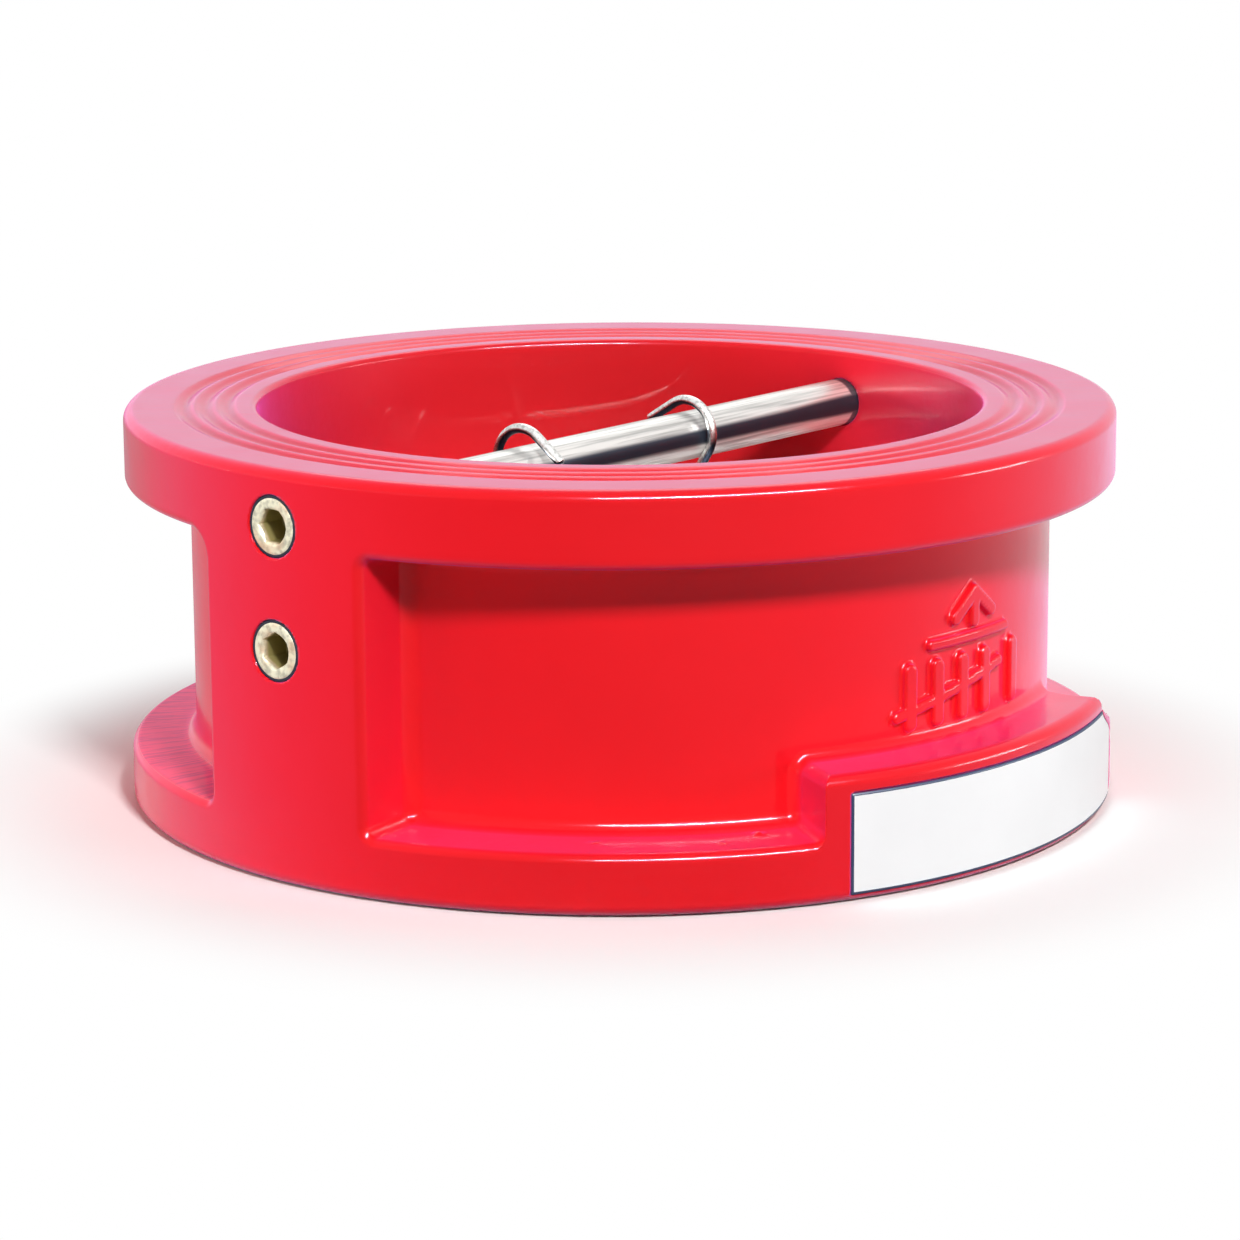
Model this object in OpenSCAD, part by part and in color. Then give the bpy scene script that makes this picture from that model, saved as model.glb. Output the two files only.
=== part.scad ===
// Dual plate wafer check valve, nominal size 100.
// Origin: centre of the inlet face. +Z is the flow direction. The pins lie along X.
// All sizes are in millimetres and all angles in degrees.

/* [Body] */
// Outside radius of both flange rims
body_r = 80; // [78:0.5:84]
// Face to face length
body_h = 64; // [62:0.5:70]
// Radius of the waist between the rims
waist_r = 69.6; // [66:0.1:72]
// Outlet bore radius
outlet_r = 58.5; // [57:0.5:60]
// Inlet port radius
inlet_r = 45.4; // [42:0.1:47]
// Height of the inlet rim at its outer edge
low_rim_h = 9.5; // [8:0.1:12]
// Height at which the outlet rim starts
high_rim_z = 52.2; // [50.5:0.1:54]
// Height of the ledge that carries the seat
ledge_z = 22.4; // [20:0.1:23]

/* [Gasket faces] */
// Radius where the ridged band starts
ridge_start_r = 61.7; // [60.5:0.1:64]
// Distance from one ridge to the next
ridge_pitch = 3.45; // [2:0.05:4]
// Number of grooves in each face
ridge_count = 3; // [1:1:4]
// Depth of the grooves
ridge_depth = 0.6; // [0.2:0.1:1]

/* [Pin bosses] */
// Half width of the full height bosses
boss_half_w = 16.15; // [13:0.05:20]
// Radius of the boss fillet against the waist
boss_fillet = 2.2; // [1:0.1:3]
// Radius of the corner fillet under the outlet rim, back side
corner_fillet = 4.5; // [1:0.1:6]
// Radius of the round bosses inside the bore
inner_boss_r = 9; // [7:0.5:11]
// Distance from the axis to the face of the inside bosses
inner_boss_x = 54.5; // [53.6:0.1:56]

/* [Pins] */
// Radius of both pins
pin_r = 4; // [3:0.1:4.4]
// Height of the hinge pin
hinge_z = 36.2; // [36.1:0.1:37]
// Height of the stop pin
stop_z = 55.2; // [54:0.1:56]
// Running gap of a part that turns on the pin
running_gap = 0.05; // [0.02:0.01:0.1]

/* [Plugs] */
// Radius of the plug holes
plug_hole_r = 4.8; // [4.7:0.05:5.2]
// Crest radius of the plug thread
plug_r = 4.62; // [4.4:0.01:4.75]
// Length of a plug
plug_len = 8; // [6:0.5:9]
// Thread pitch
plug_pitch = 0.907; // [0.75:0.001:1.25]
// Width across the flats of the hexagon socket
socket_w = 5; // [3:0.5:6]

/* [Plates] */
// Plate radius
plate_r = 52.3; // [50:0.1:53]
// Plate thickness
plate_t = 5; // [4:0.1:5.1]
// Underside of the closed plates
plate_z = 24.2; // [23.2:0.1:24.3]
// Half of the gap between the two plates
plate_gap = 0.4; // [0.2:0.05:1]
// Radius of the hinge lugs
lug_r = 6.8; // [5.5:0.1:6.9]
// Width of a hinge lug
lug_w = 9; // [6:0.5:9]
// Largest opening angle
open_angle = 80; // [60:1:85]
// Distance of the stop buttons from the middle of the plate
button_x = 32; // [28:0.5:34]
// Radius of the stop buttons
button_r = 4.5; // [3:0.1:5.5]

/* [Springs] */
// Wire diameter
wire_d = 1.6; // [1.2:0.1:1.6]
// Coil radius at the middle of the wire
coil_r = 5.75; // [5.2:0.05:6.1]
// Place of the back spring's hook along the pin
back_hook_x = -23.3; // [-27:0.1:-23.2]
// Place of the front spring's hook along the pin
front_hook_x = 17.5; // [17.4:0.1:22]
// Distance along the pin from the hook to the working leg
coil_len = 18.8; // [18.2:0.1:18.9]
// Full turns in the coil
coil_turns = 11; // [8:1:11]
// Radius of the hook at the middle of the wire
hook_r = 5.33; // [5.2:0.01:6]
// Length of the straight tip beyond the hook
hook_tip = 5.9; // [2:0.1:8]
// Length of the working leg
leg_len = 22.5; // [15:0.5:30]
// Points in each turn of the coil
coil_steps = 14; // [10:1:24]
// Sides of the wire
wire_sides = 8; // [6:1:12]

/* [Label] */
// First angle of the label
label_from = -114.3; // [-116:0.1:-100]
// Angle at which the leaning far end of the label meets its upper edge
label_lean = -66.2; // [-75:0.1:-64]
// Last angle of the label, at its foot
label_to = -59.6; // [-62:0.1:-59]
// Lower edge of the label
label_z0 = 1.1; // [0.5:0.1:4]
// Upper edge of the label
label_z1 = 16.7; // [14:0.1:17]
// Label thickness
label_t = 0.3; // [0.1:0.05:0.5]
// Height of the thick part of the inlet rim behind the label
pad_h = 19.6; // [18.5:0.1:22]
// Angle of the near end of the thick part
pad_near = -117.4; // [-122:0.1:-117]
// Angle of its far end at the top
pad_far = -66.8; // [-72:0.1:-65]
// Angle of its far end at the foot
pad_foot = -58.4; // [-64:0.1:-58]

/* [Relief] */
// Height of the cast marks above the waist
relief_t = 1; // [0.4:0.1:1.5]

/* [Hidden] */

$fn = 96;
eps = 0.01;
free_gap = 0.1;
red = [0.84, 0.07, 0.10];
steel = [0.72, 0.73, 0.74];
spring_steel = [0.66, 0.66, 0.64];
zinc = [0.80, 0.76, 0.50];
black = [0.07, 0.07, 0.08];
white = [0.96, 0.96, 0.96];
polymer = [0.84, 0.84, 0.81];

skin = 0.02;
rim_edge_r = 1.8;
cast_foot_z = 3;
inner_wall_r = 60.5;

seat_top = plate_z - 0.03;
seat_outer_r = 53;
bar_half_w = 6;
bar_edge_half_w = 2.5;
bar_z = 8;
bar_slope_h = 5;

lug_inner_x = 33.2;
lug_outer_x = 43.8;
rib_reach = 24;
rib_face_y = 1.5;
rib_top_y = 6.2;
rib_top_h = 2.8;
button_edge = 1.2;

gasket_t = 0.79;
plug_face_x = body_r - 0.16;
plug_seat_x = plug_face_x - plug_len - gasket_t - 0.05;
pin_half = plug_seat_x - 0.2;

// Lean of the far end of the label and the pad: first and last height
slope_top = 18.2;
slope_low = 12;
label_margin = 1.2;
tally_u = [-13.4, -7.6, -1.8, 4, 12.6];

// Points of an arc, from angle a0 to a1 around a centre
function arc(cx, cy, r, a0, a1, n) = [
    for (i = [0:n]) let (a = a0 + (a1 - a0) * i / n) [cx + r * cos(a), cy + r * sin(a)]
];

// Points across the ridged band of a face, as radius and depth
function ridges(n) = [
    for (i = [0:ridge_count * n])
        [ridge_start_r + i * ridge_pitch / n, ridge_depth * (1 - cos(360 * i / n)) / 2]
];

function reversed(list) = [for (i = [len(list) - 1:-1:0]) list[i]];

// Turns a shape made along Z so that it points along X
module along_x(x, z) {
    translate([x, 0, z])
        rotate([0, 90, 0])
            children();
}

// Keeps a shape at -X and adds its mirror image at +X
module both_ends() {
    children();
    mirror([1, 0, 0])
        children();
}

// Plain ring or disc on one of the pins, from x0 to x1
module ring(x0, x1, r_out, r_in, z) {
    along_x(x0, z)
        difference() {
            cylinder(r = r_out, h = x1 - x0);
            translate([0, 0, -1])
                cylinder(r = r_in, h = x1 - x0 + 2);
        }
}

// Section of the round casting: rims, waist, ridged faces, outlet bore and seat ledge
module body_section() {
    edge = rim_edge_r;
    foot = 1.2;
    root = 2;
    mouth = 1;
    low_draft = 1.1;
    high_draft = 0.8;
    face = ridges(8);
    polygon(concat(
        [[inlet_r, 0]],
        face,
        arc(body_r - edge, edge, edge, -90, 0, 6),
        arc(body_r - foot, low_rim_h - foot, foot, 0, 84, 5),
        reversed(arc(waist_r + root, low_rim_h + low_draft + root, root, 180, 264, 6)),
        reversed(arc(waist_r + root, high_rim_z - high_draft - root, root, 96, 180, 6)),
        arc(body_r - foot, high_rim_z + foot, foot, -84, 0, 5),
        arc(body_r - edge, body_h - edge, edge, 0, 90, 6),
        [for (p = reversed(face)) [p[0], body_h - p[1]]],
        arc(outlet_r + mouth, body_h - mouth, mouth, 90, 180, 4),
        [[outlet_r, ledge_z], [inlet_r, ledge_z]]
    ));
}

// Solid that fills the waist out to the rims, from inside the inlet rim up to a given height
module rim_solid(h) {
    r = body_r - skin;
    rotate_extrude()
        polygon(concat(
            [[inner_wall_r, cast_foot_z], [r, cast_foot_z]],
            arc(r - rim_edge_r, h - rim_edge_r, rim_edge_r, 0, 90, 6),
            [[inner_wall_r, h]]
        ));
}

// Plan of half a boss: a parallel wall that runs into the waist with a fillet
function boss_side(f) =
    let (cy = boss_half_w + f, cx = sqrt(pow(waist_r + f, 2) - pow(cy, 2)), a = atan2(cy, cx))
    concat(
        [[body_r + 1, boss_half_w]],
        reversed(arc(cx, cy, f, 180 + a, 270, 5)),
        [[waist_r - 4, boss_half_w + 0.2]]
    );

module boss() {
    side = boss_side(boss_fillet);
    intersection() {
        translate([0, 0, cast_foot_z])
            cylinder(r = body_r - skin, h = body_h - 2 * cast_foot_z);
        linear_extrude(body_h)
            polygon(concat(side, [for (p = reversed(side)) [p[0], -p[1]]]));
    }
}

// Concave corner between a boss wall and the underside of the outlet rim
module boss_corner(r, side) {
    bite = 1;
    z = high_rim_z - 0.3;
    intersection() {
        translate([waist_r - 3, 0, 0])
            rotate([90, 0, 90])
                linear_extrude(20)
                    polygon(concat(
                        [[side * (boss_half_w - bite), z + bite]],
                        [for (p = arc(boss_half_w + r, z - r, r, 90, 180, 8)) [side * p[0], p[1]]]
                    ));
        cylinder(r = body_r - 0.6, h = body_h);
    }
}

// Points of an end that leans outwards as it goes down, as distance along the rim and height.
// It starts at u0 and z_top, and a smooth step takes it to u1 at z_low.
function leaning_end(u0, u1, z_top, z_low) = [
    for (i = [0:6])
        let (t = i / 6)
        [u0 + (u1 - u0) * t * t * (3 - 2 * t), z_top + (z_low - z_top) * t]
];

// Distance along the rim from one angle to another
function rim_length(a0, a1) = body_r * sin(a1 - a0);

// Prism across the rim at an angle, from a plan of distance along the rim and height
module across_rim(angle) {
    rotate([0, 0, angle])
        translate([inner_wall_r, 0, 0])
            rotate([90, 0, 90])
                linear_extrude(body_r)
                    children();
}

// Thick part of the inlet rim that carries the label.
// Its far end flares into the waist and leans out at its foot.
module label_pad() {
    beyond = body_r + 4;
    flare = 11;
    flare_x = body_r * cos(pad_far) + flare - 0.6;
    flare_y = body_r * sin(pad_far) + 1.2;
    inside = 40;
    plan = concat(
        [[0, -inside], beyond * [cos(pad_near), sin(pad_near)]],
        [for (a = [pad_near + 8:8:pad_far - 4]) beyond * [cos(a), sin(a)]],
        [beyond * [cos(pad_far), sin(pad_far)]],
        [[flare_x - flare, flare_y]],
        reversed(arc(flare_x + 0.3, flare_y + 3.3, flare, 118, 185, 8)),
        [[36, -50]]
    );
    foot = rim_length(pad_far, pad_foot);
    intersection() {
        rim_solid(pad_h);
        linear_extrude(pad_h)
            polygon(plan);
    }
    intersection() {
        rim_solid(pad_h);
        across_rim(pad_far)
            polygon(concat(
                [[-5, slope_top]],
                leaning_end(0, foot, slope_top, slope_low),
                [[foot, cast_foot_z], [-5, cast_foot_z]]
            ));
    }
}

// Curved strip of the label with its leaning far end. gap makes it larger all round, for its recess.
module label_strip(gap, depth) {
    beyond = 0.7;
    extra = gap / body_r * 180 / PI;
    top = label_z1 + gap;
    lift = gap - label_margin;
    lean = rim_length(label_to, label_lean) + gap;
    difference() {
        rotate([0, 0, label_from - extra])
            rotate_extrude(angle = label_to - label_from + 2 * extra)
                translate([body_r - label_t, label_z0 - gap])
                    square([depth, top - label_z0 + gap]);
        across_rim(label_to)
            polygon(concat(
                [[lean, top + 1]],
                leaning_end(lean, gap + beyond, slope_top + lift, slope_low + lift),
                [[3 * beyond, slope_low + lift], [3 * beyond, top + 1]]
            ));
    }
}

// Flat bar with round ends
module stroke(from, to, half) {
    run = to - from;
    translate(from)
        rotate(atan2(run[1], run[0]))
            translate([0, -half])
                square([norm(run), 2 * half]);
    for (end = [from, to])
        translate(end)
            circle(half, $fn = 32);
}

// Flow arrow over a bar, and a tally of plain strokes below them, as distance along the waist and height
module relief_marks() {
    tip = [1, 41.4];
    stroke([tip[0], 36.8], tip - [0, 0.8], 1.1);
    for (side = [-1, 1])
        stroke(tip - [side * 4.6, 3.6], tip, 1.1);
    stroke([-9, 34.4], [10, 34.4], 0.8);
    stroke([-16, 24.2], [8, 29.2], 0.9);
    for (u = tally_u)
        stroke([u, 22.9], [u, 31], 1.25);
}

// The marks, cast on the waist above the label
module waist_relief() {
    intersection() {
        rotate([0, 0, -90])
            translate([waist_r - 4, 0, 0])
                rotate([90, 0, 90])
                    linear_extrude(8)
                        relief_marks();
        cylinder(r = waist_r + relief_t, h = body_h);
    }
}

// Hole for a pin, its plug and the plug's mouth, at the -X end
module pin_hole(z) {
    bevel = 0.9;
    along_x(-pin_half - 0.1, z)
        cylinder(r = pin_r + skin, h = pin_half - 50);
    along_x(-body_r - 1, z)
        cylinder(r = plug_hole_r, h = body_r + 1 - plug_seat_x);
    along_x(-body_r - 0.4, z)
        cylinder(r1 = plug_hole_r + bevel, r2 = plug_hole_r, h = bevel);
}

// Bar across the inlet under the meeting edges of the plates
module inlet_bar() {
    rotate([90, 0, 90])
        translate([0, 0, -inlet_r - 1])
            linear_extrude(2 * inlet_r + 2)
                polygon([
                    [-bar_half_w, ledge_z], [-bar_half_w, bar_z + bar_slope_h], [-bar_edge_half_w, bar_z],
                    [bar_edge_half_w, bar_z], [bar_half_w, bar_z + bar_slope_h], [bar_half_w, ledge_z]
                ]);
}

// Boss inside the bore that takes one end of the hinge pin, at the -X end
module inner_boss() {
    intersection() {
        union() {
            along_x(-inner_wall_r, hinge_z)
                cylinder(r = inner_boss_r, h = inner_wall_r - inner_boss_x);
            translate([-inner_wall_r, -inner_boss_r, ledge_z - 1])
                cube([inner_wall_r - inner_boss_x, 2 * inner_boss_r, hinge_z - ledge_z + 1]);
        }
        cylinder(r = outlet_r + 1, h = body_h);
    }
}

module valve_body() {
    color(red)
    difference() {
        union() {
            rotate_extrude()
                body_section();
            both_ends()
                rotate([0, 0, 180]) {
                    boss();
                    boss_corner(corner_fillet, -1);
                    boss_corner(rim_edge_r, 1);
                }
            label_pad();
            waist_relief();
            inlet_bar();
            both_ends()
                inner_boss();
        }
        both_ends() {
            pin_hole(hinge_z);
            pin_hole(stop_z);
        }
        label_strip(0.1, 2);
    }
}

// Bonded rubber seat: a ring with a bar across it
module seat_ring() {
    h = seat_top - ledge_z;
    lip = 0.5;
    color(black)
    translate([0, 0, ledge_z]) {
        difference() {
            union() {
                cylinder(r = seat_outer_r, h = h - lip);
                translate([0, 0, h - lip - eps])
                    cylinder(r1 = seat_outer_r, r2 = seat_outer_r - 0.9, h = lip + eps);
            }
            translate([0, 0, -1])
                cylinder(r = inlet_r, h = h + 2);
        }
        translate([-inlet_r - 0.5, -bar_half_w, 0])
            cube([2 * inlet_r + 1, 2 * bar_half_w, h]);
    }
}

// One lug with the rib that carries it down onto the plate, for the plate at -Y
module plate_lug(x) {
    foot = plate_z + plate_t - hinge_z;
    along_x(x, hinge_z)
        cylinder(r = lug_r, h = lug_w);
    intersection() {
        translate([x, 0, hinge_z])
            rotate([90, 0, 90])
                linear_extrude(lug_w)
                    polygon([
                        [-rib_face_y, foot - 0.5], [-rib_reach, foot - 0.5], [-rib_reach, foot + 0.3],
                        [-rib_top_y, rib_top_h], [-rib_face_y, rib_top_h]
                    ]);
        cylinder(r = plate_r - 1.4, h = body_h);
    }
}

// Button that meets the stop pin when the plate is fully open
module stop_button(top) {
    foot = plate_z + plate_t - 1;
    translate([0, 0, foot])
        cylinder(r1 = button_r + 1, r2 = button_r, h = top - foot - button_edge);
    translate([0, 0, top - button_edge - eps])
        cylinder(r1 = button_r, r2 = button_r - 0.8, h = button_edge + eps);
}

// Half disc with two lugs and two stop buttons, for the -Y side
module plate() {
    bevel = 1.2;
    span = 120;
    reach = (stop_z - hinge_z) * sin(open_angle);
    top = hinge_z + (stop_z - hinge_z) * cos(open_angle) - pin_r - 0.05;
    color(steel)
    difference() {
        union() {
            intersection() {
                union() {
                    translate([0, 0, plate_z])
                        cylinder(r = plate_r, h = plate_t - bevel);
                    translate([0, 0, plate_z + plate_t - bevel])
                        cylinder(r1 = plate_r, r2 = plate_r - bevel, h = bevel);
                }
                translate([-span / 2, -span - plate_gap, 0])
                    cube([span, span, body_h]);
            }
            plate_lug(-lug_outer_x - lug_w);
            plate_lug(lug_inner_x);
            for (x = [-button_x, button_x])
                translate([x, -reach, 0])
                    stop_button(top);
        }
        along_x(-span / 2, hinge_z)
            cylinder(r = pin_r + running_gap, h = span);
    }
}

module plate_front() {
    plate();
}

module plate_back() {
    rotate([0, 0, 180])
        plate();
}

// Pin with chamfered ends
module pin(z) {
    bevel = 0.6;
    color(steel)
    along_x(0, z)
        rotate_extrude()
            polygon([
                [0, -pin_half], [pin_r - bevel, -pin_half], [pin_r, -pin_half + bevel],
                [pin_r, pin_half - bevel], [pin_r - bevel, pin_half], [0, pin_half]
            ]);
}

module hinge_pin() {
    pin(hinge_z);
}

module stop_pin() {
    pin(stop_z);
}

// Point of a hook at an angle, as distance to the side and height over the hinge axis
function hook_point(side, rise, angle) = [hook_r * cos(angle) - side, hook_r * sin(angle) + rise];

// Centre line of a torsion spring around the hinge axis, seen from the back plate's side.
// It runs from the free tip of the hook, over the stop pin, down to the coil and out to the working leg on
// the plate. hook = [offset to the side, height over the stop pin, angle at which its straight tip starts].
function spring_path(hook) =
    let (
        side = hook[0],
        rise = stop_z - hinge_z + hook[1],
        tip = hook[2],
        along_tip = [-sin(tip), cos(tip)],
        turn = asin((hook_r + coil_r) / norm([rise, side])) - atan(side / rise),
        hook_n = 16,
        first = 180 - turn,
        drop = asin((hinge_z - plate_z - plate_t - 0.02 - wire_d / 2 - coil_r) / leg_len),
        last = 270 - drop + 360 * coil_turns,
        n = round((last - first) / 360 * coil_steps)
    )
    concat(
        [concat(0, hook_point(side, rise, tip) + hook_tip * along_tip)],
        [for (i = [0:hook_n]) concat(0, hook_point(side, rise, tip + (-turn - tip) * i / hook_n))],
        [for (i = [0:n])
            let (t = first + (last - first) * i / n)
            [coil_len * i / n, coil_r * cos(t), coil_r * sin(t)]],
        [[coil_len, coil_r * cos(last) + leg_len * cos(drop), coil_r * sin(last) - leg_len * sin(drop)]]
    );

function unit(v) = v / norm(v);

function path_dir(p, i) =
    unit(unit(p[min(i + 1, len(p) - 1)] - p[i] + (i == len(p) - 1 ? p[i] - p[i - 1] : [0, 0, 0]))
        + unit(p[i] - p[max(i - 1, 0)] + (i == 0 ? p[1] - p[0] : [0, 0, 0])));

// Solid wire along a path that never runs along X
module wire(p, r, sides) {
    n = len(p);
    points = [
        for (i = [0:n - 1])
            let (
                d = path_dir(p, i),
                u = unit(cross(d, [1, 0, 0])),
                v = cross(d, u)
            )
            for (k = [0:sides - 1]) p[i] + r * (cos(360 * k / sides) * u + sin(360 * k / sides) * v)
    ];
    walls = [
        for (i = [0:n - 2])
            for (k = [0:sides - 1])
                let (a = i * sides + k, b = i * sides + (k + 1) % sides)
                for (f = [[a, a + sides, b], [b, a + sides, b + sides]]) f
    ];
    polyhedron(
        points = points,
        faces = concat(
            walls,
            [[for (k = [0:sides - 1]) k]],
            [[for (k = [sides - 1:-1:0]) (n - 1) * sides + k]]
        ),
        convexity = 10
    );
}

module spring(hook) {
    color(spring_steel)
        wire(spring_path(hook), wire_d / 2, wire_sides);
}

module spring_back() {
    translate([back_hook_x, 0, hinge_z])
        spring([-0.37, 1.5, 126]);
}

module spring_front() {
    translate([front_hook_x, 0, hinge_z])
        rotate([0, 0, 180])
            spring([0.29, 0.55, 121.5]);
}

// Thin ring between the two springs
module spring_divider() {
    half_t = 0.55;
    middle = (back_hook_x + front_hook_x) / 2;
    color(polymer)
        ring(middle - half_t, middle + half_t, 6, pin_r + running_gap, hinge_z);
}

// Flanged sleeve between a spring and the next lug, its collar towards the spring
module spring_spacer(x0, x1, collar_x) {
    color(polymer)
    union() {
        ring(x0, x1, 5.6, pin_r + running_gap, hinge_z);
        ring(collar_x, collar_x + 1, 6.5, pin_r + running_gap, hinge_z);
    }
}

module spring_spacer_left() {
    end = back_hook_x - wire_d / 2 - free_gap;
    spring_spacer(-lug_inner_x + free_gap, end, end - 1);
}

module spring_spacer_right() {
    start = front_hook_x + wire_d / 2 + free_gap;
    spring_spacer(start, lug_inner_x - free_gap, start);
}

// Washer between the body and the outer lug
module body_bearing_left() {
    end = -lug_outer_x - lug_w - free_gap;
    color(polymer)
        ring(-inner_boss_x + free_gap / 2, end, 7.5, pin_r + running_gap, hinge_z);
}

module body_bearing_right() {
    mirror([1, 0, 0])
        body_bearing_left();
}

// Washer between the lugs of the two plates
module lug_bearing_left() {
    color(polymer)
        ring(-lug_outer_x + free_gap, -lug_inner_x - lug_w - free_gap, 6.6, pin_r + running_gap, hinge_z);
}

module lug_bearing_right() {
    mirror([1, 0, 0])
        lug_bearing_left();
}

// Threaded plug with a hexagon socket, at the -X end. turn sets how the hexagon sits.
module plug(z, turn) {
    thread_h = 0.45;
    socket_depth = 5;
    n = floor((plug_len - 1.6) / plug_pitch);
    root_r = plug_r - thread_h;
    color(zinc)
    difference() {
        along_x(-plug_face_x, z)
            rotate_extrude()
                polygon(concat(
                    [[0, 0], [root_r, 0], [plug_r - 0.05, 0.4]],
                    [for (i = [0:n - 1]) for (p = [[plug_r, 0.6], [root_r, 0.95], [root_r, 1.1]])
                        [p[0], p[1] + i * plug_pitch]],
                    [[plug_r - 0.1, plug_len - 0.4], [plug_r - 0.7, plug_len], [0, plug_len]]
                ));
        along_x(-plug_face_x - 1, z)
            rotate([0, 0, turn])
                cylinder(r = socket_w / 2 / cos(30), h = socket_depth + 1, $fn = 6);
        along_x(-plug_face_x - 0.1, z)
            cylinder(r1 = socket_w / 2 + 0.55, r2 = socket_w / 2 - 0.15, h = 0.7);
        along_x(-plug_face_x + socket_depth - 0.1, z)
            cylinder(r1 = socket_w / 2 - 0.2, r2 = 0.2, h = 1.3);
    }
}

module hinge_plug_left() {
    plug(hinge_z, 0);
}

module hinge_plug_right() {
    mirror([1, 0, 0])
        plug(hinge_z, 17);
}

module stop_plug_left() {
    plug(stop_z, 30);
}

module stop_plug_right() {
    mirror([1, 0, 0])
        plug(stop_z, 8);
}

// Soft ring at the bottom of a plug hole, at the -X end
module gasket(z) {
    x = -plug_face_x + plug_len;
    color(black)
        ring(x + eps, x + gasket_t, plug_hole_r - 0.1, pin_r / 2, z);
}

module hinge_gasket_left() {
    gasket(hinge_z);
}

module hinge_gasket_right() {
    mirror([1, 0, 0])
        gasket(hinge_z);
}

module stop_gasket_left() {
    gasket(stop_z);
}

module stop_gasket_right() {
    mirror([1, 0, 0])
        gasket(stop_z);
}

// Blank curved label in its shallow recess
module nameplate() {
    color(white)
        label_strip(0, label_t);
}

valve_body();
seat_ring();
plate_front();
plate_back();
hinge_pin();
stop_pin();
spring_front();
spring_back();
spring_divider();
spring_spacer_left();
spring_spacer_right();
body_bearing_left();
body_bearing_right();
lug_bearing_left();
lug_bearing_right();
hinge_plug_left();
hinge_plug_right();
stop_plug_left();
stop_plug_right();
hinge_gasket_left();
hinge_gasket_right();
stop_gasket_left();
stop_gasket_right();
nameplate();
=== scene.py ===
import math

import bmesh
import bpy
import numpy as np
from mathutils import Matrix, Vector


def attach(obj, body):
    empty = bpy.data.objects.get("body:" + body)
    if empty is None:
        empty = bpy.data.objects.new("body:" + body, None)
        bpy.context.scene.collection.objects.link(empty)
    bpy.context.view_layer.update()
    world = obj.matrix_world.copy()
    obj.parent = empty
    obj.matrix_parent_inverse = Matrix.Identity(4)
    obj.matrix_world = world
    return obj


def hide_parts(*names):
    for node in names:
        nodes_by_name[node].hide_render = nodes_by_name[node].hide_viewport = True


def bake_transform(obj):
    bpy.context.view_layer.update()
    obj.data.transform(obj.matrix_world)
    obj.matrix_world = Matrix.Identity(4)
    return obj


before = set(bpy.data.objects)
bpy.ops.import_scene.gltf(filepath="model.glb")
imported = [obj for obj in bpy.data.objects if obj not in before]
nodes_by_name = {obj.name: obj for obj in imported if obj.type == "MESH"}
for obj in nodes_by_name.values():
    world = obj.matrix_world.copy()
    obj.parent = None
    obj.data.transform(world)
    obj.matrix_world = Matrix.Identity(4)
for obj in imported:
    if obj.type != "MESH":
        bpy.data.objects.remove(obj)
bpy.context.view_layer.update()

MM = 0.001

# Driving sizes in millimetres and degrees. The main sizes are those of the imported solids. The threads, the
# relief's height and the fine edges and fillets differ a little, and the paint beads are only here.

# Casting: outside, bores, ridges of the gasket faces, bosses and the bar across the inlet
BODY_R, BODY_H, WAIST_R = 80.0, 64.0, 69.6
LOW_RIM_Z, HIGH_RIM_Z = 9.5, 52.2
OUTLET_R, INLET_R, LEDGE_Z = 58.5, 45.4, 22.4
RIDGE_START, RIDGE_PITCH, RIDGE_COUNT, RIDGE_DEPTH = 61.7, 3.45, 3, 0.6
BOSS_HALF_W, INNER_BOSS_R, INNER_BOSS_X = 16.15, 9.0, 54.5
# The bar's wedge: half the width of its blunt foot, and the cosine and sine of its sides' slope
BAR_HALF_W, BAR_Z, BAR_TIP, BAR_COS, BAR_SIN = 6.0, 8.0, 2.5, 0.82, 0.57

# Thick part of the inlet rim and its label. Their far ends lean out from one slope height down to the other.
PAD_H, PAD_NEAR, PAD_FAR, PAD_FOOT = 19.6, -117.4, -66.8, -58.4
LABEL_FROM, LABEL_TO, LABEL_LEAN = -114.3, -59.6, -66.2
LABEL_Z0, LABEL_Z1, LABEL_T, LABEL_MARGIN, LABEL_BORDER = 1.1, 16.7, 0.3, 1.2, 0.4
SLOPE_TOP, SLOPE_LOW = 18.2, 12.0

# Pins and plugs. Each plug has its pin, its side, its direction along X, its height and its socket's turn.
PIN_R, PIN_HALF, PIN_CHAMFER, HINGE_Z, STOP_Z = 4.0, 70.8, 0.6, 36.2, 55.2
PIN_FIT, PIN_HOLE_X, PLUG_HOLE_R, PLUG_SEAT_X = 0.02, 50.0, 4.8, 71.0
PLUG_R, PLUG_LEN, PLUG_PITCH, PLUG_FACE_X, SOCKET_W = 4.6, 8.0, 0.907, 79.84, 5.0
THREAD_DEPTH, SOCKET_DEPTH, DRILL_DEPTH, SOCKET_CHAMFER = 0.45, 5.0, 6.3, 0.42
PLUGS = (("hinge", "left", -1, HINGE_Z, 0), ("hinge", "right", 1, HINGE_Z, 17),
         ("stop", "left", -1, STOP_Z, 30), ("stop", "right", 1, STOP_Z, 8))

# Plates: half disc, lugs, stop buttons, and how far ribs and buttons start below the disc's upper side
PLATE_R, PLATE_T, PLATE_Z, PLATE_GAP = 52.3, 5.0, 24.2, 0.4
LUG_R, LUG_W, LUG_INNER_X, LUG_OUTER_X = 6.8, 9.0, 33.2, 43.8
BUTTON_X, BUTTON_R, BUTTON_DRAFT, OPEN_ANGLE = 32.0, 4.5, 0.12, 80.0
RUNNING_GAP, PLATE_ROOT = 0.05, 1.5
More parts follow.
